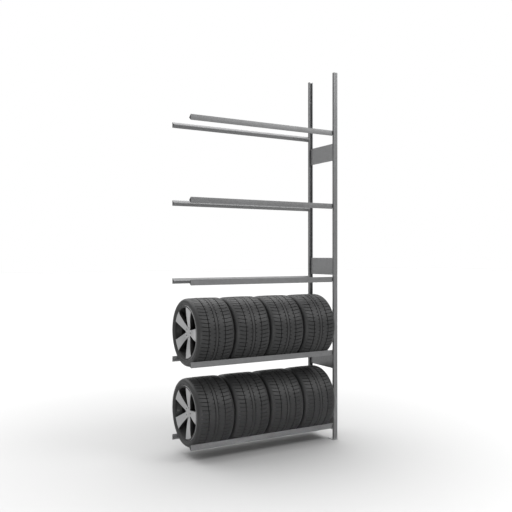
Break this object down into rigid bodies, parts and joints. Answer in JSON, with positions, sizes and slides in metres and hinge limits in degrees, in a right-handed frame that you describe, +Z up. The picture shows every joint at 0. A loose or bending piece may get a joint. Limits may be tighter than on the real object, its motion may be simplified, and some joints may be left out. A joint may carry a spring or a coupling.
{
  "type": "tyre storage rack",
  "caption": "Tall add-on bay of steel tyre shelving: one braced end frame and pairs of sloped beams that cradle wheels, with the lower levels loaded.",
  "frame": {"origin": "on the floor, midway between the two floor-anchor holes of the end frame, in the middle of the posts' width", "axes": "+X along the beams towards the end frame and away from the bay; +Y from the front beams to the rear beams; +Z up"},
  "size_m": [1.536, 0.602, 3.515],
  "materials": {
    "galvanised_steel": "satin galvanised sheet, fine spangle",
    "beam_steel": "satin galvanised roll-formed section",
    "connector_steel": "dark coated",
    "zinc_fasteners": "bright zinc plated",
    "black_plastic": "matt moulded",
    "tyre_rubber": "matt rubber with tread blocks",
    "rim_alloy": "satin painted spokes, dark barrel",
    "cap_alloy": "satin",
    "valve_rubber": "matt"
  },
  "bodies": {
    "rack": {"front_post": "galvanised_steel", "rear_post": "galvanised_steel", "front_foot": "galvanised_steel", "rear_foot": "galvanised_steel", "brace_1": "galvanised_steel", "brace_2": "galvanised_steel", "brace_3": "galvanised_steel", "brace_4": "galvanised_steel", "frame_bolts": "zinc_fasteners", "frame_nuts": "zinc_fasteners", "front_beam_1": "beam_steel", "rear_beam_1": "beam_steel", "front_beam_2": "beam_steel", "rear_beam_2": "beam_steel", "front_beam_3": "beam_steel", "rear_beam_3": "beam_steel", "front_beam_4": "beam_steel", "rear_beam_4": "beam_steel", "front_beam_5": "beam_steel", "rear_beam_5": "beam_steel", "front_connectors": "connector_steel", "rear_connectors": "connector_steel", "locking_clips": "zinc_fasteners", "front_end_plugs": "black_plastic", "rear_end_plugs": "black_plastic"},
    "wheel_1_1": {"tyre_1_1": "tyre_rubber", "rim_1_1": "rim_alloy", "cap_1_1": "cap_alloy", "valve_1_1": "valve_rubber"},
    "wheel_1_2": {"tyre_1_2": "tyre_rubber", "rim_1_2": "rim_alloy", "cap_1_2": "cap_alloy", "valve_1_2": "valve_rubber"},
    "wheel_1_3": {"tyre_1_3": "tyre_rubber", "rim_1_3": "rim_alloy", "cap_1_3": "cap_alloy", "valve_1_3": "valve_rubber"},
    "wheel_1_4": {"tyre_1_4": "tyre_rubber", "rim_1_4": "rim_alloy", "cap_1_4": "cap_alloy", "valve_1_4": "valve_rubber"},
    "wheel_2_1": {"tyre_2_1": "tyre_rubber", "rim_2_1": "rim_alloy", "cap_2_1": "cap_alloy", "valve_2_1": "valve_rubber"},
    "wheel_2_2": {"tyre_2_2": "tyre_rubber", "rim_2_2": "rim_alloy", "cap_2_2": "cap_alloy", "valve_2_2": "valve_rubber"},
    "wheel_2_3": {"tyre_2_3": "tyre_rubber", "rim_2_3": "rim_alloy", "cap_2_3": "cap_alloy", "valve_2_3": "valve_rubber"},
    "wheel_2_4": {"tyre_2_4": "tyre_rubber", "rim_2_4": "rim_alloy", "cap_2_4": "cap_alloy", "valve_2_4": "valve_rubber"}
  },
  "joints": [
    {"name": "wheel_1_1_lift", "type": "slide", "parent": "rack", "child": "wheel_1_1", "axis": [0, 0, 1], "range_m": [0, 0.08]},
    {"name": "wheel_1_2_lift", "type": "slide", "parent": "rack", "child": "wheel_1_2", "axis": [0, 0, 1], "range_m": [0, 0.08]},
    {"name": "wheel_1_3_lift", "type": "slide", "parent": "rack", "child": "wheel_1_3", "axis": [0, 0, 1], "range_m": [0, 0.08]},
    {"name": "wheel_1_4_lift", "type": "slide", "parent": "rack", "child": "wheel_1_4", "axis": [0, 0, 1], "range_m": [0, 0.08]},
    {"name": "wheel_2_1_lift", "type": "slide", "parent": "rack", "child": "wheel_2_1", "axis": [0, 0, 1], "range_m": [0, 0.08]},
    {"name": "wheel_2_2_lift", "type": "slide", "parent": "rack", "child": "wheel_2_2", "axis": [0, 0, 1], "range_m": [0, 0.08]},
    {"name": "wheel_2_3_lift", "type": "slide", "parent": "rack", "child": "wheel_2_3", "axis": [0, 0, 1], "range_m": [0, 0.08]},
    {"name": "wheel_2_4_lift", "type": "slide", "parent": "rack", "child": "wheel_2_4", "axis": [0, 0, 1], "range_m": [0, 0.08]}
  ]
}
